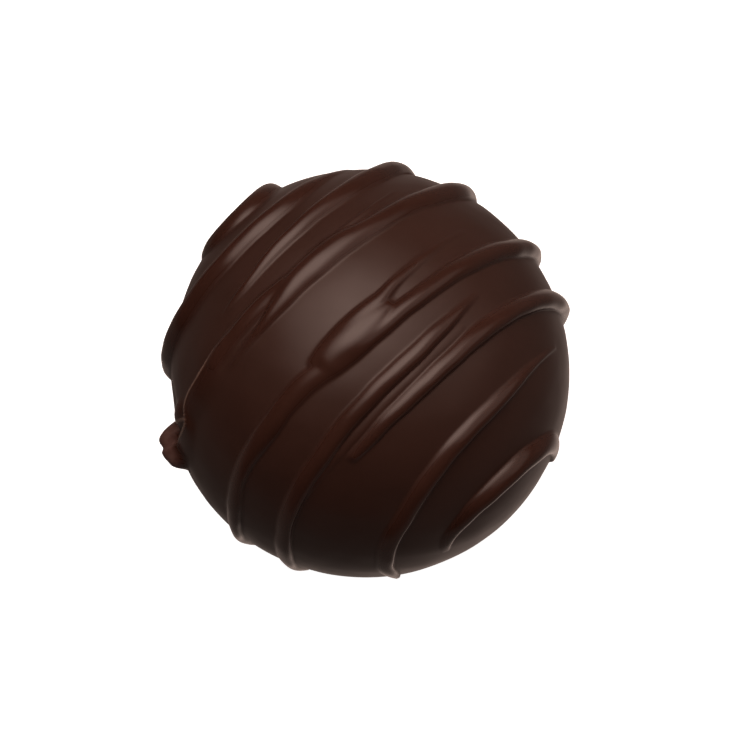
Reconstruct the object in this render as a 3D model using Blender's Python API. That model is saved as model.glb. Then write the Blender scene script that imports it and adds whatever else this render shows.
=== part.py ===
"""Chocolate truffle: a rolled ball in a dark coat, drizzled with strands of the same chocolate.

The ball, its coat, the drizzle and the broken strand end are one piece of set chocolate, so they
are one solid. The origin is the centre of the flat base, and +Z is up.

The surface is a height above a ball. A point on it is named by two angles: `along` runs with the
drizzle, from straight up (0) towards the side that the strands leave over (+90), and `across` is
the tilt towards the side that the strands are laid out to (+90 is that side's pole).
"""

import math

import bmesh
import bpy
import numpy as np

MM = 0.001

BALL_RADIUS = 15.0 * MM
CENTRE_HEIGHT = 13.5 * MM
DRIZZLE_TURN = math.radians(-49.0)

# How softly a strand meets the ball and its neighbours.
FILLET = 0.045 * MM

# A strand's cross-section: its roundness, how far over its edge it is drawn before it runs on
# straight, and how far its top sags down the ball's side.
BEAD_POWER = 0.75
BEAD_HELD = 0.97
SAG = 0.15

# The coat pooled a little round the base: it leaves the ball this many degrees from straight down.
FOOT_ANGLE = 41.0
FOOT_SWAY = 1.5
FOOT_SPAN = 10.0
FOOT_FLARE = 0.6 * MM

# The shell is made fine and then reduced to the triangles that its shape needs.
COLUMNS = 300
ROWS = 300
PROBES_PER_ROW = 5
GATHER = 12.0
BLENDED_COLUMNS = 3
TRIANGLES = 9400

# Each strand: (along in degrees, across in degrees, half width in mm, height in mm) per station.
STRANDS = {
    "rim": (
        (-104, 72.0, 0.30, 0.12), (-85, 72.8, 0.50, 0.24), (-60, 73.6, 0.75, 0.45),
        (-30, 74.2, 0.90, 0.70), (0, 73.6, 0.97, 0.88), (30, 71.0, 1.02, 0.92),
        (60, 67.6, 0.98, 0.72), (85, 65.0, 0.85, 0.50), (112, 62.0, 0.55, 0.30),
    ),
    "front": (
        (-122, 54.0, 0.50, 0.40), (-108, 54.6, 0.62, 0.42), (-80, 55.1, 0.74, 0.45),
        (-50, 54.8, 0.80, 0.50), (-20, 52.5, 0.80, 0.54), (0, 50.5, 0.78, 0.54),
        (20, 48.2, 0.66, 0.45), (32, 45.6, 0.52, 0.34), (45, 42.6, 0.32, 0.20),
        (62, 38.8, 0.14, 0.06),
    ),
    "middle_lower": (
        (-128, 23.6, 0.55, 0.42), (-110, 25.0, 0.65, 0.42), (-97, 25.9, 0.74, 0.44),
        (-80, 25.6, 0.66, 0.44), (-64, 24.9, 0.72, 0.44), (-45, 24.3, 0.75, 0.44),
        (-30, 23.7, 0.74, 0.44), (-20, 23.5, 0.74, 0.44), (-10, 23.3, 0.74, 0.46),
        (0, 22.8, 0.72, 0.46), (10, 21.7, 0.62, 0.38), (15, 20.9, 0.52, 0.30),
        (20, 20.0, 0.40, 0.22), (28, 18.6, 0.20, 0.08),
    ),
    "middle_upper": (
        (-40, 31.2, 0.42, 0.18), (-30, 31.6, 0.58, 0.34), (-20, 31.5, 0.64, 0.42),
        (-10, 31.4, 0.70, 0.48), (0, 30.9, 0.73, 0.52), (10, 29.9, 0.75, 0.54),
        (20, 28.8, 0.80, 0.58), (30, 27.7, 0.78, 0.62), (40, 26.9, 0.76, 0.68),
        (55, 25.8, 0.78, 0.74), (65, 25.4, 0.84, 0.80), (80, 23.9, 0.84, 0.82),
        (100, 21.0, 0.72, 0.67), (122, 19.0, 0.68, 0.50),
    ),
    "middle_between": (
        (-62, 26.8, 0.20, 0.08), (-30, 28.2, 0.32, 0.10), (-15, 27.8, 0.33, 0.10),
        (0, 26.6, 0.35, 0.10), (10, 25.6, 0.33, 0.09), (17, 24.6, 0.22, 0.06),
    ),
    "wide": (
        (-126, 8.0, 0.60, 0.45), (-110, 9.6, 0.70, 0.45), (-98, 10.5, 0.79, 0.46),
        (-90, 10.2, 0.70, 0.44), (-80, 9.2, 0.72, 0.42), (-70, 8.4, 0.68, 0.42),
        (-60, 7.8, 0.80, 0.44), (-50, 7.9, 0.86, 0.44), (-40, 7.6, 0.86, 0.44),
        (-33, 7.8, 0.95, 0.42), (-20, 10.4, 0.86, 0.40), (-10, 10.9, 0.80, 0.40),
        (0, 11.0, 0.76, 0.44), (10, 10.8, 0.76, 0.48), (20, 10.35, 0.78, 0.50),
        (30, 9.9, 0.80, 0.56), (45, 9.4, 0.81, 0.66), (60, 9.1, 0.84, 0.76),
        (72, 8.0, 0.87, 0.80), (85, 5.9, 0.82, 0.76), (100, 4.0, 0.70, 0.62),
        (118, 3.0, 0.65, 0.45),
    ),
    "web": (
        (-25.5, 7.6, 1.10, 0.42), (-20, 8.1, 1.45, 0.60), (-12, 8.4, 1.52, 0.64),
        (-6, 8.4, 1.45, 0.62), (-1, 8.2, 1.05, 0.50), (3, 8.0, 0.50, 0.26),
    ),
    "wide_tail": (
        (-28, 6.2, 0.60, 0.26), (-15, 5.1, 0.72, 0.30), (-5, 4.5, 0.68, 0.31),
        (0, 4.2, 0.62, 0.32), (5, 3.7, 0.50, 0.28), (10, 3.2, 0.44, 0.24), (17, 2.3, 0.42, 0.20),
        (25, 1.4, 0.34, 0.15), (32, 0.5, 0.22, 0.10), (39, -0.2, 0.13, 0.06),
    ),
    "back_lower": (
        (-42, -18.6, 0.50, 0.30), (-32, -19.2, 0.60, 0.42), (-25, -18.9, 0.72, 0.42),
        (-18, -18.8, 0.68, 0.34), (-10, -18.8, 0.50, 0.12),
    ),
    "back_upper": (
        (-34, -13.2, 0.20, 0.10), (-30, -13.1, 0.42, 0.26), (-25, -13.5, 0.56, 0.38),
        (-20, -14.5, 0.78, 0.50), (-14, -15.7, 1.06, 0.64), (-5, -16.0, 1.17, 0.70),
        (5, -16.1, 1.15, 0.70), (13, -15.1, 0.95, 0.62), (20, -15.0, 0.90, 0.60),
        (30, -15.0, 0.90, 0.64), (45, -15.0, 1.00, 0.70), (55, -15.4, 1.05, 0.72),
        (70, -17.1, 0.96, 0.76), (90, -20.0, 0.82, 0.68), (112, -21.5, 0.76, 0.50),
        (126, -22.0, 0.80, 0.50),
    ),
    "back_hair": (
        (4, -19.7, 0.20, 0.10), (12, -20.2, 0.20, 0.12), (20, -20.7, 0.17, 0.11),
        (26, -21.5, 0.15, 0.10), (34, -22.8, 0.08, 0.04),
    ),
    "far": (
        (-36, -27.1, 0.12, 0.06), (-28, -27.6, 0.36, 0.22), (-20, -28.2, 0.45, 0.33),
        (-13, -29.2, 0.60, 0.46), (0, -30.3, 0.71, 0.62), (10, -31.0, 0.78, 0.68),
        (20, -31.4, 0.84, 0.73), (30, -32.0, 0.92, 0.75), (40, -32.8, 0.95, 0.76),
        (50, -34.0, 0.95, 0.76), (70, -35.8, 0.86, 0.74), (90, -37.0, 0.76, 0.64),
        (114, -38.0, 0.65, 0.45),
    ),
    "left": (
        (-118, -46.0, 0.65, 0.50), (-100, -45.5, 0.82, 0.70), (-80, -44.7, 0.88, 0.76),
        (-60, -43.5, 0.90, 0.80), (-40, -42.8, 0.88, 0.80), (-20, -42.4, 0.88, 0.80),
        (0, -42.7, 0.86, 0.78), (10, -43.3, 0.82, 0.70), (20, -44.6, 0.72, 0.54),
        (30, -45.6, 0.54, 0.34), (40, -46.3, 0.36, 0.16), (56, -48.6, 0.15, 0.05),
    ),
    "loop": (
        (-60, -77.0, 0.30, 0.15), (-42, -68.0, 0.60, 0.35), (-28, -62.5, 0.80, 0.60),
        (-10, -60.0, 1.00, 0.80), (8, -61.0, 1.00, 0.90), (24, -65.0, 0.75, 0.80),
        (42, -70.0, 0.55, 0.55), (60, -77.0, 0.40, 0.30),
    ),
}

# Where the ball is pressed in: (along, across, spread in degrees, depth in mm).
HOLLOWS = (
    (-82.0, -51.0, 22.0, 0.62),
    (-92.0, -29.0, 7.0, 0.80),
)

# The broken end's lip, which falls off sharply on one side and slowly on the other: (along, across
# of its crest, height, width of its sharp side, width of its slow side) per station.
LIP = (
    (-101, -21.5, 0.00, 0.40, 2.0), (-97, -20.0, 0.20, 0.40, 2.2), (-90, -18.0, 0.36, 0.35, 2.4),
    (-85, -17.2, 0.40, 0.32, 2.2), (-80, -16.4, 0.40, 0.30, 1.9), (-75, -15.8, 0.40, 0.30, 1.5),
    (-71.5, -16.0, 0.42, 0.30, 1.2), (-69, -18.1, 0.44, 0.30, 1.5), (-65, -19.4, 0.44, 0.30, 2.0),
    (-58, -19.7, 0.42, 0.30, 2.4), (-50, -20.1, 0.38, 0.30, 2.4), (-44, -20.8, 0.26, 0.30, 1.8),
    (-38, -21.0, 0.00, 0.30, 1.2),
)

# Lumps of the broken strand end: (along, across, half length along, half length across, height).
LUMPS = (
    (-93.0, -22.6, 1.15, 1.20, 1.88),
    (-93.3, -19.0, 1.05, 1.20, 1.35),
    (-93.0, -15.9, 1.10, 1.00, 1.22),
    (-78.0, -22.0, 1.90, 0.90, 0.42),
)


def drizzle_frame():
    """Unit vectors across the strands, along them and up."""
    across = np.array((math.cos(DRIZZLE_TURN), math.sin(DRIZZLE_TURN), 0.0))
    along = np.array((-math.sin(DRIZZLE_TURN), math.cos(DRIZZLE_TURN), 0.0))
    return across, along, np.array((0.0, 0.0, 1.0))


def direction(along, across):
    """Unit vectors from the ball's centre, for angles in degrees."""
    side, forward, up = drizzle_frame()
    tilt, turn = np.radians(across)[..., None], np.radians(along)[..., None]
    return np.sin(tilt) * side + np.cos(tilt) * (np.sin(turn) * forward + np.cos(turn) * up)


def smooth_curve(x, stations, values):
    """A smooth curve through the stations' values (a cubic Hermite spline)."""
    slope = np.gradient(values, stations)
    left = np.clip(np.searchsorted(stations, x) - 1, 0, len(stations) - 2)
    span = stations[left + 1] - stations[left]
    t = (x - stations[left]) / span
    start = (2 * t**3 - 3 * t**2 + 1) * values[left] + (t**3 - 2 * t**2 + t) * span * slope[left]
    end = (3 * t**2 - 2 * t**3) * values[left + 1] + (t**3 - t**2) * span * slope[left + 1]
    return start + end


def bead(offset, half_width, height, sag):
    """A bead's cross-section: rounded, leaning the way it sags, and straight past its foot."""
    place = offset / half_width
    inside = np.clip(place, -1.0, 1.0)
    upright = 2 * (inside - sag) / (1 + np.sqrt(1 - 4 * sag * (inside - sag)))
    held = np.clip(upright, -BEAD_HELD, BEAD_HELD)
    left_over = 1.0 - held**2
    top = left_over**BEAD_POWER
    fall = 2 * BEAD_POWER * np.abs(held) * left_over ** (BEAD_POWER - 1)
    beyond = np.abs(upright - held) + np.abs(place - inside)
    return height * (top - fall * beyond)


def joined(shapes):
    """Beads that lie over the ball, joined to it and to each other by a small fillet."""
    total = np.zeros_like(shapes[0])
    for shape in shapes:
        total = np.logaddexp(total, shape / FILLET)
    return FILLET * total


def strand(stations, along, across):
    """One strand: a bead that follows its stations and has round ends."""
    table = np.array(stations)
    angles = table[:, 0]
    first, last = angles[0], angles[-1]
    held = np.clip(along, first, last)
    centre = smooth_curve(held, angles, table[:, 1])
    half_width = smooth_curve(held, angles, table[:, 2]) * MM
    height = smooth_curve(held, angles, table[:, 3]) * MM
    lean = smooth_curve(held + 0.5, angles, table[:, 1]) - smooth_curve(held - 0.5, angles, table[:, 1])
    ring = np.cos(np.radians(across))
    degree = math.radians(1.0) * BALL_RADIUS
    offset = (across - centre) * degree / np.hypot(1.0, lean / ring)
    sag = SAG * np.sin(2 * np.radians(centre))
    before = np.maximum(0.0, half_width - (along - first) * degree * ring)
    after = np.maximum(0.0, half_width - (last - along) * degree * ring)
    past = np.hypot(before, after)
    return bead(np.copysign(np.hypot(offset, past), offset), half_width, height, sag)


def lip(along, across):
    """The broken end's lip: its height above the ball."""
    table = np.array(LIP)
    angles = table[:, 0]
    held = np.clip(along, angles[0], angles[-1])
    crest, height, sharp, slow = (smooth_curve(held, angles, column) for column in table[:, 1:].T)
    offset = (across - crest) * math.radians(1.0) * BALL_RADIUS / MM
    away = np.clip(np.abs(offset) / np.where(offset < 0.0, sharp, slow), 0.0, 1.0)
    return height * MM * (1.0 - away**2 * (3.0 - 2.0 * away))


def lump(place, along, across):
    """One smooth lump of the broken strand end."""
    centre_along, centre_across, half_along, half_across, height = place
    degree = math.radians(1.0) * BALL_RADIUS
    turned = (along - centre_along + 180.0) % 360.0 - 180.0
    reach_along = turned * degree * np.cos(np.radians(across)) / (half_along * MM)
    reach_across = (across - centre_across) * degree / (half_across * MM)
    return bead(np.hypot(reach_along, reach_across), 1.0, height * MM, 0.0)


def foot(along, across):
    """How far the pooled coat flares out round the base, which sways a little as it goes round."""
    aim = direction(along, across)
    below = np.degrees(np.arccos(np.clip(-aim[..., 2], -1.0, 1.0)))
    round_base = np.arctan2(aim[..., 1], aim[..., 0])
    edge = FOOT_ANGLE + FOOT_SWAY * (np.sin(2 * round_base + 0.6) + 0.6 * np.sin(3 * round_base))
    return FOOT_FLARE * (np.maximum(0.0, edge - below) / FOOT_SPAN) ** 2


def relief(along, across):
    """Height of the drizzle and its broken end above the ball."""
    along, across = np.broadcast_arrays(along, across)
    strands = [strand(stations, along, across) for stations in STRANDS.values()]
    lumps = [lump(place, along, across) for place in LUMPS]
    return joined(strands + lumps) + lip(along, across)


def ball(along, across):
    """Distance from the centre to the ball, with its pressed-in side."""
    aim = direction(along, across)
    distance = np.full(aim.shape[:-1], BALL_RADIUS)
    for centre_along, centre_across, spread, depth in HOLLOWS:
        centre = direction(np.array(centre_along), np.array(centre_across))
        away = np.degrees(np.arccos(np.clip(aim @ centre, -1.0, 1.0)))
        distance = distance - depth * MM * np.exp(-0.5 * (away / spread) ** 2)
    return distance


def surface(along, across):
    """Points of the truffle's surface, in metres."""
    distance = ball(along, across) + foot(along, across) + relief(along, across)
    points = direction(along, across) * distance[..., None]
    points[..., 2] += CENTRE_HEIGHT
    return points


def gathered_rows(columns_along, rows):
    """Each column's angles across, closer together where the surface bends."""
    probes = np.linspace(-90.0, 90.0, rows * PROBES_PER_ROW + 1)
    height = relief(columns_along[:, None], probes[None, :])
    step = math.radians(180.0) * BALL_RADIUS / (len(probes) - 1)
    bend = np.abs(np.diff(height, n=2, axis=1)) / step**2
    need = np.sqrt(1.0 / GATHER + np.pad(bend, ((0, 0), (1, 1)), mode="edge") * MM)
    for _ in range(3):
        need = sum(np.roll(need, shift, axis=0) for shift in range(-BLENDED_COLUMNS, BLENDED_COLUMNS + 1))
        need = need / (2 * BLENDED_COLUMNS + 1)
        need = sum(np.roll(need, shift, axis=1) for shift in range(-PROBES_PER_ROW, PROBES_PER_ROW + 1))
        need = need / (2 * PROBES_PER_ROW + 1)
    travelled = np.pad(np.cumsum((need[:, 1:] + need[:, :-1]) / 2, axis=1), ((0, 0), (1, 0)))
    shares = np.linspace(0.0, 1.0, rows + 1)
    return np.array([np.interp(shares * column[-1], column, probes) for column in travelled])


def shell_mesh(columns, rows):
    """The closed surface: columns round the across axis, and a single point at each pole."""
    columns_along = np.linspace(-180.0, 180.0, columns, endpoint=False)
    inner = gathered_rows(columns_along, rows)[:, 1:-1]
    poles = surface(np.zeros(2), np.array((-90.0, 90.0)))
    sides = surface(np.broadcast_to(columns_along[:, None], inner.shape), inner)
    points = np.concatenate((poles, sides.reshape(-1, 3)))
    ring = rows - 1
    faces = []
    for column in range(columns):
        here = 2 + column * ring
        beside = 2 + (column + 1) % columns * ring
        faces.append((0, here, beside))
        for row in range(ring - 1):
            faces.append((here + row, here + row + 1, beside + row + 1, beside + row))
        faces.append((1, beside + ring - 1, here + ring - 1))
    mesh = bpy.data.meshes.new("truffle_shell")
    mesh.from_pydata(points.tolist(), [], faces)
    return mesh


def reduced(mesh, triangles):
    """The same shape with the given number of triangles."""
    carrier = bpy.data.objects.new("truffle_carrier", mesh)
    bpy.context.scene.collection.objects.link(carrier)
    made = sum(len(face.vertices) - 2 for face in mesh.polygons)
    decimate = carrier.modifiers.new("reduce", "DECIMATE")
    decimate.ratio = triangles / made
    decimate.use_collapse_triangulate = True
    depsgraph = bpy.context.evaluated_depsgraph_get()
    result = bpy.data.meshes.new_from_object(carrier.evaluated_get(depsgraph))
    bpy.data.objects.remove(carrier)
    return result


def cut_flat_base(mesh):
    """Cut the shell at z = 0 and close it with a flat face."""
    shape = bmesh.new()
    shape.from_mesh(mesh)
    everything = shape.verts[:] + shape.edges[:] + shape.faces[:]
    bmesh.ops.bisect_plane(
        shape, geom=everything, plane_co=(0, 0, 0), plane_no=(0, 0, 1), clear_inner=True
    )
    rim = [edge for edge in shape.edges if edge.is_boundary]
    bmesh.ops.contextual_create(shape, geom=rim)
    bmesh.ops.recalc_face_normals(shape, faces=shape.faces)
    shape.to_mesh(mesh)
    shape.free()


def dark_chocolate():
    """Set dark chocolate with a satin shine."""
    material = bpy.data.materials.new("dark_chocolate")
    material.use_nodes = True
    shader = material.node_tree.nodes["Principled BSDF"]
    shader.inputs["Base Color"].default_value = (0.042, 0.017, 0.011, 1.0)
    shader.inputs["Roughness"].default_value = 0.35
    shader.inputs["Metallic"].default_value = 0.0
    return material


def build():
    for old in list(bpy.data.objects):
        bpy.data.objects.remove(old)
    mesh = reduced(shell_mesh(COLUMNS, ROWS), TRIANGLES)
    cut_flat_base(mesh)
    mesh.shade_smooth()
    mesh.set_sharp_from_angle(angle=math.radians(60.0))
    mesh.materials.append(dark_chocolate())
    truffle = bpy.data.objects.new("truffle", mesh)
    bpy.context.scene.collection.objects.link(truffle)


build()
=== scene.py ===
"""The truffle's looks: its fine surface and chocolate, with a pale floor, soft light and a camera.

The ball, its drizzle and the broken strand end are one piece of set chocolate, so one fine mesh
replaces the CAD solid and keeps to the same shape. A point on the ball is named by two angles:
`along` runs with the drizzle, from straight up (0) towards the far side (+90), and `across` is the
tilt to the side (+90 is that side's pole).
"""

import math

import bmesh
import bpy
import numpy as np
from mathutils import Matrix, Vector


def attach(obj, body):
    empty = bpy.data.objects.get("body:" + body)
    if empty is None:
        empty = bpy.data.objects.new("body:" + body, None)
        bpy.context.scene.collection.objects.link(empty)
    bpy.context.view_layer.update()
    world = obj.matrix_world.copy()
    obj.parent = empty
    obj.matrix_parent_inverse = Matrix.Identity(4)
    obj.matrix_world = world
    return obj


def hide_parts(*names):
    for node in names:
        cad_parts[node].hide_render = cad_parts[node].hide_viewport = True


MM = 0.001

# The ball, how high its centre lies above the table, how far the drizzle is turned about up, and
# how long one degree is on the ball.
BALL_RADIUS = 15.0 * MM
CENTRE_HEIGHT = 13.5 * MM
DRIZZLE_TURN = math.radians(-49.0)
DEGREE = math.radians(1.0) * BALL_RADIUS

# How softly a strand meets the ball and its neighbours.
FILLET = 0.045 * MM

# A strand's cross-section: its roundness, how far over its edge it is drawn before it runs on
# straight, and how far its top sags down the ball's side.
BEAD_POWER = 0.75
BEAD_HELD = 0.97
SAG = 0.15

# Near its ends a strand sags further: by this much, from this angle along over this span, and in
# full from this angle across.
END_SAG = 0.26
END_SAG_FROM = 45.0
END_SAG_SPAN = 30.0
END_SAG_ACROSS = 8.0

# How much blunter than round a strand's ends are.
BLUNTNESS = 1.7

# Rings nearer the poles than this share of the ball's own are treated as this wide.
NARROWEST_RING = 0.2

# How far the poured strands sway (degrees) and swell (share of their height) along their length, in
# waves of (waves in a turn of 2 pi, share, times the phase). The phase differs between strands.
STRAND_SWAY = 0.07
STRAND_SWELL = 0.014
STRAND_WAVES = ((19, 1.0, 1), (33, 0.6, 3))
PHASE_PER_DEGREE = 0.37
SWELL_PHASE = 2.0

# How far the dipped ball's coat waves in and out, how each wave runs, and how strongly the second
# bends the first and the third bends the second.
COAT_WAVE = 0.007 * MM
COAT_TURNS = ((21.0, 6.0, -9.0), (-8.0, 24.0, 7.0), (9.0, -5.0, 26.0))
COAT_BENDS = (1.7, 1.3)

# The coat pooled a little round the base: it leaves the ball this many degrees from straight down,
# swaying by this much in waves of (waves round the base, share, shift), and over this span it
# flares out this far.
FOOT_ANGLE = 41.0
FOOT_SWAY = 1.5
FOOT_WAVES = ((2, 1.0, 0.6), (3, 0.6, 0.0))
FOOT_SPAN = 10.0
FOOT_FLARE = 0.6 * MM

# Where the relief's marks begin and are full. The drizzle has its own shine where it is thick, and
# the lip counts towards it by this share. The broken end is duller where it stands high, and
# painted paler there as painted light for its lit face and soft highlight. The lip's edges carry a
# painted highlight over their whole width.
DRIZZLE_THIN = 0.04 * MM
DRIZZLE_FULL = 0.26 * MM
LIP_SHARE = 0.5
BROKEN_FROM = 0.25 * MM
BROKEN_FULL = 0.70 * MM
EDGE_FROM = -0.01 * MM
EDGE_FULL = 0.04 * MM

# The chocolate's colours, and how rough its shine is. The broken end is duller than the drizzle by
# this much, and all of it is uneven by this much to either side.
BALL_DARK = (0.0435, 0.0192, 0.0136)
BALL_PALE = (0.0495, 0.0226, 0.0166)
DRIZZLE_DARK = (0.0450, 0.0186, 0.0130)
DRIZZLE_PALE = (0.0520, 0.0220, 0.0158)
# The broken end's colours are painted paler than the chocolate, as painted light for its lit face
# and soft highlight, with a random grain between the two.
BROKEN_LIT_DARK = (0.085, 0.040, 0.034)
BROKEN_LIT_PALE = (0.125, 0.072, 0.062)
# The lip edges' painted highlight: a pale colour laid along them in place of the light they catch.
EDGE_PAINTED_HIGHLIGHT = (0.200, 0.135, 0.110)
BALL_ROUGHNESS = 0.42
DRIZZLE_ROUGHNESS = 0.25
BROKEN_DULLNESS = 0.20
UNEVEN_SHINE = 0.05
CHOCOLATE_IOR = 1.46

# The noises that mottle the chocolate, grain the broken end and vary the shine, as (scale, detail,
# the noise that becomes 0, the noise that becomes 1).
MOTTLING = (260.0, 3.0, 0.30, 0.70)
GRAIN = (1400.0, 4.0, 0.35, 0.65)
SHINE_NOISE = (420.0, 2.0, 0.0, 1.0)

# The fine surface's mesh: its columns and rows, how many probes find each row's place, how strongly
# bends gather the rows, and how many columns to each side and how many times that is evened out.
# Edges that bend more sharply than the last angle are shaded sharp.
COLUMNS = 330
ROWS = 296
PROBES_PER_ROW = 5
GATHER = 12.0
BLENDED_COLUMNS = 3
BLENDINGS = 3
SHARP_ANGLE = math.radians(60.0)

# The drizzle's strands: (along, across, half width in mm, height in mm) per station.
STRANDS = {
    "rim": (
        (-104, 72.0, 0.30, 0.12), (-85, 72.8, 0.50, 0.24), (-60, 73.6, 0.75, 0.45),
        (-30, 74.2, 0.90, 0.70), (0, 73.6, 0.97, 0.88), (30, 71.0, 1.02, 0.92),
        (60, 67.6, 0.98, 0.72), (85, 65.0, 0.85, 0.50), (112, 62.0, 0.55, 0.30),
    ),
    "front": (
        (-122, 54.0, 0.50, 0.40), (-108, 54.6, 0.62, 0.42), (-80, 55.1, 0.74, 0.45),
        (-50, 54.8, 0.80, 0.50), (-20, 52.5, 0.80, 0.54), (0, 50.5, 0.78, 0.54),
        (20, 48.2, 0.66, 0.45), (32, 45.6, 0.52, 0.34), (45, 42.6, 0.32, 0.20),
        (62, 38.8, 0.14, 0.06),
    ),
    "middle_lower": (
        (-128, 23.6, 0.55, 0.42), (-110, 25.0, 0.65, 0.42), (-97, 25.9, 0.74, 0.44),
        (-80, 25.6, 0.66, 0.44), (-64, 24.9, 0.72, 0.44), (-45, 24.3, 0.75, 0.44),
        (-30, 23.7, 0.74, 0.44), (-20, 23.5, 0.74, 0.44), (-10, 23.3, 0.74, 0.46),
        (0, 22.8, 0.72, 0.46), (10, 21.7, 0.62, 0.38), (15, 20.9, 0.52, 0.30),
        (20, 20.0, 0.40, 0.22), (28, 18.6, 0.20, 0.08),
    ),
    "middle_upper": (
        (-40, 31.2, 0.42, 0.18), (-30, 31.6, 0.58, 0.34), (-20, 31.5, 0.64, 0.42),
        (-10, 31.4, 0.70, 0.48), (0, 30.9, 0.73, 0.52), (10, 29.9, 0.75, 0.54),
        (20, 28.8, 0.80, 0.58), (30, 27.7, 0.78, 0.62), (40, 26.9, 0.76, 0.68),
        (55, 25.8, 0.78, 0.74), (65, 25.4, 0.84, 0.80), (80, 23.9, 0.84, 0.82),
        (100, 21.0, 0.72, 0.67), (122, 19.0, 0.68, 0.50),
    ),
    "middle_between": (
        (-62, 26.8, 0.20, 0.08), (-30, 28.2, 0.32, 0.10), (-15, 27.8, 0.33, 0.10),
        (0, 26.6, 0.35, 0.10), (10, 25.6, 0.33, 0.09), (17, 24.6, 0.22, 0.06),
    ),
    "wide": (
        (-126, 8.0, 0.50, 0.45), (-110, 8.7, 0.52, 0.50), (-100, 9.4, 0.62, 0.50),
        (-90, 9.7, 0.70, 0.46), (-80, 9.1, 0.73, 0.42), (-70, 8.1, 0.66, 0.41),
        (-60, 7.6, 0.74, 0.43), (-50, 7.9, 0.86, 0.44), (-40, 7.6, 0.86, 0.42),
        (-33, 7.8, 0.92, 0.38), (-26, 8.6, 0.95, 0.36), (-20, 9.8, 0.95, 0.42),
        (-10, 10.8, 0.86, 0.48), (0, 11.0, 0.78, 0.50), (10, 10.8, 0.76, 0.50),
        (20, 10.35, 0.78, 0.50), (30, 9.9, 0.80, 0.56), (45, 9.4, 0.81, 0.66),
        (60, 9.1, 0.84, 0.76), (72, 8.0, 0.87, 0.80), (85, 5.9, 0.82, 0.76),
        (100, 4.0, 0.70, 0.62), (118, 3.0, 0.65, 0.45),
    ),
    "web": (
        (-25, 7.8, 1.15, 0.44), (-20, 8.1, 1.40, 0.60), (-12, 8.4, 1.50, 0.64),
        (-6, 8.3, 1.35, 0.60), (-1, 8.1, 0.95, 0.52), (3.5, 7.8, 0.45, 0.32),
    ),
    "wide_tail": (
        (-26, 6.0, 0.60, 0.30), (-15, 5.4, 0.80, 0.38), (-7, 5.3, 0.85, 0.44),
        (-2, 5.3, 0.80, 0.44), (2, 4.85, 0.64, 0.40), (5, 4.2, 0.52, 0.34),
        (10, 3.3, 0.45, 0.27), (17, 2.3, 0.42, 0.21), (25, 1.4, 0.34, 0.15),
        (32, 0.5, 0.22, 0.10), (39, -0.2, 0.13, 0.06),
    ),
    "back_lower": (
        (-50, -17.6, 0.60, 0.12), (-42, -18.2, 0.80, 0.28), (-33, -18.7, 0.78, 0.42),
        (-25, -18.5, 0.80, 0.44), (-17, -17.9, 0.75, 0.42), (-8, -17.2, 0.60, 0.40),
    ),
    "back_upper": (
        (-44, -12.7, 0.20, 0.06), (-36, -12.9, 0.33, 0.16), (-28, -13.3, 0.48, 0.34),
        (-22, -14.2, 0.72, 0.48), (-15, -15.4, 1.00, 0.62), (-5, -16.0, 1.17, 0.70),
        (5, -16.1, 1.15, 0.70), (13, -15.1, 0.95, 0.62), (20, -15.0, 0.90, 0.60),
        (30, -15.0, 0.90, 0.64), (45, -15.0, 1.00, 0.70), (55, -15.4, 1.05, 0.72),
        (70, -17.1, 0.96, 0.76), (90, -20.0, 0.82, 0.68), (112, -21.5, 0.76, 0.50),
        (126, -22.0, 0.80, 0.50),
    ),
    "back_fill": (
        (-25, -16.2, 0.50, 0.14), (-19, -16.3, 0.85, 0.38), (-12, -16.6, 0.90, 0.45),
        (-4, -16.8, 0.70, 0.40),
    ),
    "back_hair": (
        (4, -19.7, 0.20, 0.10), (12, -20.2, 0.20, 0.12), (20, -20.7, 0.17, 0.11),
        (26, -21.5, 0.15, 0.10), (34, -22.8, 0.08, 0.04),
    ),
    "far": (
        (-36, -27.1, 0.12, 0.06), (-28, -27.6, 0.36, 0.22), (-20, -28.2, 0.45, 0.33),
        (-13, -29.2, 0.60, 0.46), (0, -30.3, 0.71, 0.62), (10, -31.0, 0.78, 0.68),
        (20, -31.4, 0.84, 0.73), (30, -32.0, 0.92, 0.75), (40, -32.8, 0.95, 0.76),
        (50, -34.0, 0.95, 0.76), (70, -35.8, 0.86, 0.74), (90, -37.0, 0.76, 0.64),
        (114, -38.0, 0.65, 0.45),
    ),
    "left": (
        (-118, -46.0, 0.65, 0.50), (-100, -45.5, 0.82, 0.70), (-80, -44.7, 0.88, 0.76),
        (-60, -43.5, 0.90, 0.80), (-40, -42.8, 0.88, 0.80), (-20, -42.4, 0.88, 0.80),
        (0, -42.7, 0.86, 0.78), (10, -43.3, 0.82, 0.70), (20, -44.6, 0.72, 0.54),
        (30, -45.6, 0.54, 0.34), (40, -46.3, 0.36, 0.16), (56, -48.6, 0.15, 0.05),
    ),
    "loop": (
        (-60, -77.0, 0.30, 0.15), (-42, -68.0, 0.60, 0.35), (-28, -62.5, 0.80, 0.60),
        (-10, -60.0, 1.00, 0.80), (8, -61.0, 1.00, 0.90), (24, -65.0, 0.75, 0.80),
        (42, -70.0, 0.55, 0.55), (60, -77.0, 0.40, 0.30),
    ),
}

# Where the ball is pressed in: (along, across, spread in degrees, depth in mm).
HOLLOWS = (
    (-82.0, -51.0, 22.0, 0.62),
    (-92.0, -29.0, 7.0, 0.80),
)

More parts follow.
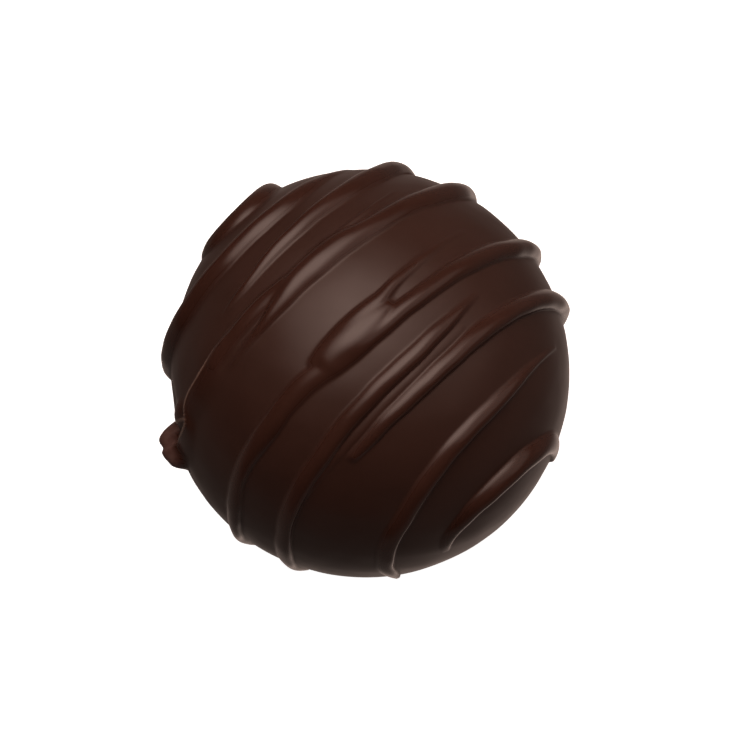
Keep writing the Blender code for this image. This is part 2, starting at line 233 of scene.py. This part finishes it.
# The lip's edges: thin strands, with the same numbers per station. Their pale colour is a painted
# highlight along the lip.
EDGES = {
    "lip_edge": (
        (-87, -17.5, 0.10, 0.02), (-85, -17.2, 0.13, 0.04), (-83, -16.9, 0.14, 0.05),
        (-80, -16.4, 0.14, 0.05), (-75, -15.8, 0.14, 0.05), (-71.5, -16.1, 0.14, 0.05),
        (-69, -18.0, 0.14, 0.05), (-65, -19.3, 0.13, 0.05), (-58, -19.7, 0.12, 0.04),
        (-50, -20.1, 0.11, 0.03), (-44, -20.8, 0.09, 0.01),
    ),
    "lip_branch": (
        (-84, -21.6, 0.10, 0.02), (-78, -20.2, 0.14, 0.05), (-73, -17.6, 0.14, 0.05),
        (-70.5, -16.2, 0.10, 0.03),
    ),
}

# The broken end's lip, which falls off sharply on one side and slowly on the other: (along, across
# of its crest, height, width of its sharp side, width of its slow side) per station, with the
# lengths in mm.
LIP = (
    (-101, -21.5, 0.00, 0.40, 2.0), (-97, -20.0, 0.20, 0.40, 2.2), (-90, -18.0, 0.36, 0.35, 2.4),
    (-85, -17.2, 0.40, 0.32, 2.2), (-80, -16.4, 0.40, 0.30, 1.9), (-75, -15.8, 0.40, 0.30, 1.5),
    (-71.5, -16.0, 0.42, 0.30, 1.2), (-69, -18.1, 0.44, 0.30, 1.5), (-65, -19.4, 0.44, 0.30, 2.0),
    (-58, -19.7, 0.42, 0.30, 2.4), (-50, -20.1, 0.38, 0.30, 2.4), (-44, -20.8, 0.26, 0.30, 1.8),
    (-38, -21.0, 0.00, 0.30, 1.2),
)

# Lumps of the broken strand end: (along, across, half length along, half length across, height).
# The power tapers them, and the melt is how far they run into each other. Angles are in degrees,
# lengths in mm.
LUMPS = (
    (-93.0, -22.6, 1.40, 1.25, 1.82),
    (-93.0, -20.6, 1.30, 1.30, 1.55),
    (-93.0, -18.2, 1.30, 1.30, 1.28),
    (-93.0, -15.8, 1.25, 1.15, 1.08),
    (-78.0, -22.0, 2.00, 1.00, 0.42),
)
LUMP_POWER = 1.15
LUMP_MELT = 0.10 * MM


def drizzle_frame():
    """Unit vectors across the strands, along them and up."""
    across = np.array((math.cos(DRIZZLE_TURN), math.sin(DRIZZLE_TURN), 0.0))
    along = np.array((-math.sin(DRIZZLE_TURN), math.cos(DRIZZLE_TURN), 0.0))
    return across, along, np.array((0.0, 0.0, 1.0))


def direction(along, across):
    """Unit vectors from the ball's centre, for angles in degrees."""
    side, forward, up = drizzle_frame()
    tilt, turn = np.radians(across)[..., None], np.radians(along)[..., None]
    return np.sin(tilt) * side + np.cos(tilt) * (np.sin(turn) * forward + np.cos(turn) * up)


def smooth_curve(x, stations, values):
    """A smooth curve through the stations' values (a cubic Hermite spline)."""
    slope = np.gradient(values, stations)
    left = np.clip(np.searchsorted(stations, x) - 1, 0, len(stations) - 2)
    span = stations[left + 1] - stations[left]
    t = (x - stations[left]) / span
    start = (2 * t**3 - 3 * t**2 + 1) * values[left] + (t**3 - 2 * t**2 + t) * span * slope[left]
    end = (3 * t**2 - 2 * t**3) * values[left + 1] + (t**3 - t**2) * span * slope[left + 1]
    return start + end


def eased(share):
    """A share from 0 to 1 that starts and ends gently."""
    return share**2 * (3.0 - 2.0 * share)


def bead(offset, half_width, height, sag):
    """A bead's cross-section: rounded, leaning the way it sags, and straight past its foot."""
    place = offset / half_width
    inside = np.clip(place, -1.0, 1.0)
    upright = 2 * (inside - sag) / (1 + np.sqrt(1 - 4 * sag * (inside - sag)))
    held = np.clip(upright, -BEAD_HELD, BEAD_HELD)
    left_over = 1.0 - held**2
    top = left_over**BEAD_POWER
    fall = 2 * BEAD_POWER * np.abs(held) * left_over ** (BEAD_POWER - 1)
    beyond = np.abs(upright - held) + np.abs(place - inside)
    return height * (top - fall * beyond)


def joined(shapes):
    """Beads that lie over the ball, joined to it and to each other by a small fillet."""
    total = np.zeros_like(shapes[0])
    for shape in shapes:
        total = np.logaddexp(total, shape / FILLET)
    return FILLET * total


def unevenness(along, centre, phase):
    """How a poured strand varies along its length, about -1.6 to 1.6."""
    turn = np.radians(along) * np.cos(np.radians(centre))
    return sum(share * np.sin(count * turn + times * phase) for count, share, times in STRAND_WAVES)


def strand(stations, along, across):
    """One strand: a bead that follows its stations, sags and has blunt ends."""
    angles, course, half_widths, heights = np.array(stations).T
    usual, phase = np.mean(course), PHASE_PER_DEGREE * course[0]
    first, last = angles[0], angles[-1]
    held = np.clip(along, first, last)
    centre = smooth_curve(held, angles, course) + STRAND_SWAY * unevenness(held, usual, phase)
    half_width = smooth_curve(held, angles, half_widths) * MM
    swell = 1 + STRAND_SWELL * unevenness(held, usual, phase + SWELL_PHASE)
    height = smooth_curve(held, angles, heights) * MM * swell
    lean = smooth_curve(held + 0.5, angles, course) - smooth_curve(held - 0.5, angles, course)
    ring = np.maximum(np.cos(np.radians(across)), NARROWEST_RING)
    far_down = np.clip((np.abs(along) - END_SAG_FROM) / END_SAG_SPAN, 0.0, 1.0)
    steeper = END_SAG * eased(far_down) * np.clip(centre / END_SAG_ACROSS, 0.0, 1.0)
    sag = SAG * np.sin(2 * np.radians(centre)) + steeper
    offset = (across - centre) * DEGREE / np.hypot(1.0, lean / ring) + steeper * half_width
    before = np.maximum(0.0, half_width - BLUNTNESS * (along - first) * DEGREE * ring)
    after = np.maximum(0.0, half_width - BLUNTNESS * (last - along) * DEGREE * ring)
    past = np.hypot(before, after)
    return bead(np.copysign(np.hypot(offset, past), offset), half_width, height, sag)


def lip(along, across):
    """The broken end's lip: its height above the ball."""
    angles, *columns = np.array(LIP).T
    held = np.clip(along, angles[0], angles[-1])
    crest, height, sharp, slow = (smooth_curve(held, angles, column) for column in columns)
    offset = (across - crest) * DEGREE / MM
    away = np.clip(np.abs(offset) / np.where(offset < 0.0, sharp, slow), 0.0, 1.0)
    return height * MM * (1.0 - eased(away))


def lump(place, along, across):
    """One tapered lump of the broken strand end."""
    centre_along, centre_across, half_along, half_across, height = place
    turned = (along - centre_along + 180.0) % 360.0 - 180.0
    reach_along = turned * DEGREE * np.cos(np.radians(across)) / (half_along * MM)
    reach_across = (across - centre_across) * DEGREE / (half_across * MM)
    reach = np.minimum(1.0, np.hypot(reach_along, reach_across))
    return height * MM * (1.0 - reach**2) ** LUMP_POWER


def broken_end(along, across):
    """Height of the broken strand end: its lumps, melted into one."""
    total = sum(np.expm1(lump(place, along, across) / LUMP_MELT) for place in LUMPS)
    return LUMP_MELT * np.log1p(total)


def foot(along, across):
    """How far the pooled coat flares out round the base, which sways a little as it goes round."""
    aim = direction(along, across)
    below = np.degrees(np.arccos(np.clip(-aim[..., 2], -1.0, 1.0)))
    round_base = np.arctan2(aim[..., 1], aim[..., 0])
    sway = sum(share * np.sin(count * round_base + shift) for count, share, shift in FOOT_WAVES)
    edge = FOOT_ANGLE + FOOT_SWAY * sway
    return FOOT_FLARE * (np.maximum(0.0, edge - below) / FOOT_SPAN) ** 2


def relief(along, across):
    """Height of the drizzle, its broken end and the lip above the ball."""
    along, across = np.broadcast_arrays(along, across)
    courses = (*STRANDS.values(), *EDGES.values())
    shapes = [strand(stations, along, across) for stations in courses]
    return joined(shapes + [broken_end(along, across)]) + lip(along, across)


def ball(along, across):
    """Distance from the centre to the ball, with its pressed-in side and its coat's waves."""
    aim = direction(along, across)
    distance = np.full(aim.shape[:-1], BALL_RADIUS)
    for centre_along, centre_across, spread, depth in HOLLOWS:
        centre = direction(np.array(centre_along), np.array(centre_across))
        away = np.degrees(np.arccos(np.clip(aim @ centre, -1.0, 1.0)))
        distance = distance - depth * MM * np.exp(-0.5 * (away / spread) ** 2)
    first, second, third = (aim @ np.array(turn) for turn in COAT_TURNS)
    first = np.sin(first + COAT_BENDS[0] * np.sin(second))
    second = np.sin(second + COAT_BENDS[1] * np.sin(third))
    return distance + COAT_WAVE * (first + second + np.sin(third))


def surface(along, across):
    """Points of the truffle's surface, in metres."""
    distance = ball(along, across) + foot(along, across) + relief(along, across)
    points = direction(along, across) * distance[..., None]
    points[..., 2] += CENTRE_HEIGHT
    return points


def gathered_rows(columns_along, rows):
    """Each column's angles across, closer together where the surface bends."""
    probes = np.linspace(-90.0, 90.0, rows * PROBES_PER_ROW + 1)
    height = relief(columns_along[:, None], probes[None, :])
    step = math.radians(180.0) * BALL_RADIUS / (len(probes) - 1)
    bend = np.abs(np.diff(height, n=2, axis=1)) / step**2
    need = np.sqrt(1.0 / GATHER + np.pad(bend, ((0, 0), (1, 1)), mode="edge") * MM)
    for _ in range(BLENDINGS):
        for axis, reach in enumerate((BLENDED_COLUMNS, PROBES_PER_ROW)):
            need = sum(np.roll(need, shift, axis=axis) for shift in range(-reach, reach + 1))
            need = need / (2 * reach + 1)
    travelled = np.pad(np.cumsum((need[:, 1:] + need[:, :-1]) / 2, axis=1), ((0, 0), (1, 0)))
    shares = np.linspace(0.0, 1.0, rows + 1)
    return np.array([np.interp(shares * column[-1], column, probes) for column in travelled])


def shell_mesh(columns, rows):
    """The closed surface: columns round the across axis, and a single point at each pole."""
    columns_along = np.linspace(-180.0, 180.0, columns, endpoint=False)
    inner = gathered_rows(columns_along, rows)[:, 1:-1]
    poles = surface(np.zeros(2), np.array((-90.0, 90.0)))
    sides = surface(np.broadcast_to(columns_along[:, None], inner.shape), inner)
    points = np.concatenate((poles, sides.reshape(-1, 3)))
    ring = rows - 1
    faces = []
    for column in range(columns):
        here = 2 + column * ring
        beside = 2 + (column + 1) % columns * ring
        faces.append((0, here, beside))
        for row in range(ring - 1):
            faces.append((here + row, here + row + 1, beside + row + 1, beside + row))
        faces.append((1, beside + ring - 1, here + ring - 1))
    mesh = bpy.data.meshes.new("truffle_shell")
    mesh.from_pydata(points.tolist(), [], faces)
    return mesh


def cut_flat_base(mesh):
    """Cut the shell at z = 0 and close it with a flat face."""
    shape = bmesh.new()
    shape.from_mesh(mesh)
    everything = shape.verts[:] + shape.edges[:] + shape.faces[:]
    bmesh.ops.bisect_plane(
        shape, geom=everything, plane_co=(0, 0, 0), plane_no=(0, 0, 1), clear_inner=True
    )
    rim = [edge for edge in shape.edges if edge.is_boundary]
    bmesh.ops.contextual_create(shape, geom=rim)
    bmesh.ops.recalc_face_normals(shape, faces=shape.faces)
    shape.to_mesh(mesh)
    shape.free()


def chocolate_material():
    """Set dark chocolate: a satin ball under glossier drizzle, faintly mottled and uneven."""
    material = bpy.data.materials.new("set_dark_chocolate")
    material.use_nodes = True
    tree = material.node_tree
    shader = tree.nodes["Principled BSDF"]
    shader.inputs["IOR"].default_value = CHOCOLATE_IOR

    def node(kind, **settings):
        made = tree.nodes.new("ShaderNode" + kind)
        for name, value in settings.items():
            setattr(made, name, value)
        return made

    def mark(name):
        return node("Attribute", attribute_name=name).outputs["Fac"]

    def spread(value, low, high, from_low=0.0, from_high=1.0):
        made = node("MapRange")
        numbers = {"From Min": from_low, "From Max": from_high, "To Min": low, "To Max": high}
        for name, number in numbers.items():
            made.inputs[name].default_value = number
        tree.links.new(value, made.inputs["Value"])
        return made.outputs["Result"]

    def noise(pattern, low=0.0, high=1.0):
        scale, detail, from_low, from_high = pattern
        made = node("TexNoise")
        made.inputs["Scale"].default_value = scale
        made.inputs["Detail"].default_value = detail
        tree.links.new(place.outputs["Object"], made.inputs["Vector"])
        return spread(made.outputs["Fac"], low, high, from_low, from_high)

    def mixed(factor, first, second):
        made = node("Mix", data_type="RGBA")
        tree.links.new(factor, made.inputs[0])
        for socket, value in ((made.inputs[6], first), (made.inputs[7], second)):
            if isinstance(value, tuple):
                socket.default_value = value + (1.0,)
            else:
                tree.links.new(value, socket)
        return made.outputs[2]

    def added(first, second):
        made = node("Math", operation="ADD")
        tree.links.new(first, made.inputs[0])
        tree.links.new(second, made.inputs[1])
        return made.outputs[0]

    place = node("TexCoord")
    drizzle, broken, edge = mark("drizzle"), mark("broken"), mark("edge")
    mottling = noise(MOTTLING)
    shell = mixed(mottling, BALL_DARK, BALL_PALE)
    strands = mixed(mottling, DRIZZLE_DARK, DRIZZLE_PALE)
    whole = mixed(drizzle, shell, strands)
    # The broken end is painted paler: painted light for its lit face, with a random grain.
    broken_lit_colour = mixed(noise(GRAIN), BROKEN_LIT_DARK, BROKEN_LIT_PALE)
    # The lip's edges are painted pale, as a painted highlight along them.
    colour = mixed(edge, mixed(broken, whole, broken_lit_colour), EDGE_PAINTED_HIGHLIGHT)
    tree.links.new(colour, shader.inputs["Base Color"])
    shine = spread(drizzle, BALL_ROUGHNESS, DRIZZLE_ROUGHNESS)
    duller = spread(broken, 0.0, BROKEN_DULLNESS)
    uneven = noise(SHINE_NOISE, -UNEVEN_SHINE, UNEVEN_SHINE)
    tree.links.new(added(added(shine, duller), uneven), shader.inputs["Roughness"])
    return material


def mark_chocolate(mesh):
    """Give each point its shares of drizzle, of the broken end's paler painted light and of the lip
    edges' painted highlight, for its look.
    """
    points = np.empty(3 * len(mesh.vertices))
    mesh.vertices.foreach_get("co", points)
    aim = points.reshape(-1, 3) - np.array((0.0, 0.0, CENTRE_HEIGHT))
    side, forward, up = drizzle_frame()
    across = np.degrees(np.arctan2(aim @ side, np.hypot(aim @ forward, aim @ up)))
    along = np.degrees(np.arctan2(aim @ forward, aim @ up))
    thickness = relief(along, across) - LIP_SHARE * lip(along, across)
    # The lip edges' share, where the painted highlight colour goes.
    edge = np.maximum(*(strand(stations, along, across) for stations in EDGES.values()))
    marks = (
        ("drizzle", thickness, DRIZZLE_THIN, DRIZZLE_FULL),
        # The broken end's share, where its duller shine and its paler painted light go.
        ("broken", broken_end(along, across), BROKEN_FROM, BROKEN_FULL),
        ("edge", edge, EDGE_FROM, EDGE_FULL),
    )
    for name, height, low, full in marks:
        share = np.clip((height - low) / (full - low), 0.0, 1.0)
        layer = mesh.attributes.new(name, "FLOAT", "POINT")
        layer.data.foreach_set("value", eased(share))


def make_truffle():
    """The fine surface with its chocolate, in the solid's place."""
    mesh = shell_mesh(COLUMNS, ROWS)
    cut_flat_base(mesh)
    mark_chocolate(mesh)
    mesh.shade_smooth()
    mesh.set_sharp_from_angle(angle=SHARP_ANGLE)
    mesh.materials.append(chocolate_material())
    truffle = bpy.data.objects.new("truffle_coat", mesh)
    bpy.context.scene.collection.objects.link(truffle)
    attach(truffle, "root")
    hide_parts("truffle")


# The camera looks down steeply and from far off, at a point just off the ball's centre.
CAMERA_ELEVATION = math.radians(66.0)
CAMERA_DISTANCE = 1.5
CLIP_START = 0.1
LENS = 1000.0
AIM_RIGHT = 0.08 * MM
AIM_UP = 0.51 * MM


def view_frame():
    """Unit vectors to the right of the picture, up it and out of it towards the camera."""
    rise, level = math.sin(CAMERA_ELEVATION), math.cos(CAMERA_ELEVATION)
    return Vector((1.0, 0.0, 0.0)), Vector((0.0, rise, level)), Vector((0.0, -level, rise))


def make_camera():
    """The photo's camera."""
    right, up, out = view_frame()
    lens = bpy.data.cameras.new("camera")
    lens.lens = LENS
    lens.clip_start = CLIP_START
    camera = bpy.data.objects.new("camera", lens)
    bpy.context.scene.collection.objects.link(camera)
    aim = Vector((0.0, 0.0, CENTRE_HEIGHT)) + right * AIM_RIGHT + up * AIM_UP
    camera.location = aim + out * CAMERA_DISTANCE
    camera.rotation_euler = (math.pi / 2 - CAMERA_ELEVATION, 0.0, 0.0)
    bpy.context.scene.camera = camera


# The floor reaches this far to each side, and its white glows by itself.
FLOOR_REACH = 1.5
FLOOR_WHITE = 0.9
FLOOR_ROUGHNESS = 0.9
FLOOR_GLOW = 1.0


def make_floor():
    """A plain white floor that neither lights the truffle nor takes its shadow."""
    mesh = bpy.data.meshes.new("floor")
    sides = ((-1, -1), (1, -1), (1, 1), (-1, 1))
    corners = [(FLOOR_REACH * x, FLOOR_REACH * y, 0.0) for x, y in sides]
    mesh.from_pydata(corners, [], [(0, 1, 2, 3)])
    material = bpy.data.materials.new("floor")
    material.use_nodes = True
    shader = material.node_tree.nodes["Principled BSDF"]
    shader.inputs["Base Color"].default_value = (FLOOR_WHITE, FLOOR_WHITE, FLOOR_WHITE, 1.0)
    shader.inputs["Roughness"].default_value = FLOOR_ROUGHNESS
    shader.inputs["Emission Color"].default_value = (1.0, 1.0, 1.0, 1.0)
    shader.inputs["Emission Strength"].default_value = FLOOR_GLOW
    mesh.materials.append(material)
    floor = bpy.data.objects.new("floor", mesh)
    floor.visible_glossy = False
    floor.visible_diffuse = False
    floor.visible_shadow = False
    bpy.context.scene.collection.objects.link(floor)


# The softboxes, as (name, way to it, distance in metres, half angle it fills in degrees, radiance).
# The key's three stand one behind the other, so that it fades outwards. A softer one stands at the
# truffle's right, and a faint one low behind it.
SOFTBOXES = (
    ("key_outer", (-0.14, 0.16, 0.98), 0.56, 35.0, 1.13),
    ("key_middle", (-0.14, 0.16, 0.98), 0.53, 27.0, 1.13),
    ("key_inner", (-0.14, 0.16, 0.98), 0.50, 18.5, 1.13),
    ("side", (0.60, 0.02, 0.80), 0.70, 33.0, 0.63),
    ("back", (-0.05, 0.80, -0.58), 0.60, 20.0, 0.16),
)
LIGHT_COLOUR = (1.0, 0.76, 0.66)

# The table's glow: brightest this way from the truffle, and fading with the angle from there, as
# (cosine of the angle, radiance) from far to near.
TABLE_SIDE = (0.20, 0.26, -0.945)
TABLE_GLOW = (
    (0.0, 0.0), (0.22, 0.12), (0.60, 0.12), (0.80, 0.13), (0.90, 0.28), (0.96, 0.62), (1.0, 0.84),
)


def make_world():
    """A dark room whose pale table glows from below and behind the truffle."""
    world = bpy.data.worlds.new("world")
    bpy.context.scene.world = world
    world.use_nodes = True
    tree = world.node_tree
    background = tree.nodes["Background"]
    background.inputs["Color"].default_value = LIGHT_COLOUR + (1.0,)
    place = tree.nodes.new("ShaderNodeTexCoord")
    facing = tree.nodes.new("ShaderNodeVectorMath")
    facing.operation = "DOT_PRODUCT"
    facing.inputs[1].default_value = Vector(TABLE_SIDE).normalized()
    glow = tree.nodes.new("ShaderNodeValToRGB")
    stops = glow.color_ramp.elements
    for number, (cosine, radiance) in enumerate(TABLE_GLOW):
        stop = stops[number] if number < len(stops) else stops.new(cosine)
        stop.position = cosine
        stop.color = (radiance, radiance, radiance, 1.0)
    tree.links.new(place.outputs["Generated"], facing.inputs[0])
    tree.links.new(facing.outputs["Value"], glow.inputs["Fac"])
    tree.links.new(glow.outputs["Color"], background.inputs["Strength"])


def make_softbox(name, aim, distance, half_angle, radiance):
    """A round softbox that looks this wide and this bright from the truffle."""
    radius = distance * math.tan(math.radians(half_angle))
    lamp = bpy.data.lights.new(name, "AREA")
    lamp.shape = "DISK"
    lamp.size = 2.0 * radius
    lamp.energy = radiance * math.pi * math.pi * radius**2
    lamp.color = LIGHT_COLOUR
    softbox = bpy.data.objects.new(name, lamp)
    aim = Vector(aim).normalized()
    softbox.location = Vector((0.0, 0.0, CENTRE_HEIGHT)) + aim * distance
    softbox.rotation_mode = "QUATERNION"
    softbox.rotation_quaternion = (-aim).to_track_quat("-Z", "Y")
    bpy.context.scene.collection.objects.link(softbox)


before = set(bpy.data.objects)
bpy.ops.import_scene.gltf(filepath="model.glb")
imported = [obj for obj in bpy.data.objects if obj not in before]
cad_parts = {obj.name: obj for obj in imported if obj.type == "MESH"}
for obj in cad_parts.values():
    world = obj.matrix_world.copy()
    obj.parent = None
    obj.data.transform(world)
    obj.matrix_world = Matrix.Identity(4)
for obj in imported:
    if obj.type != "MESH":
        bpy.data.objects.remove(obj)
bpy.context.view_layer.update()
bpy.context.scene.view_settings.view_transform = "Standard"
make_camera()
make_truffle()
make_floor()
make_world()
for softbox in SOFTBOXES:
    make_softbox(*softbox)
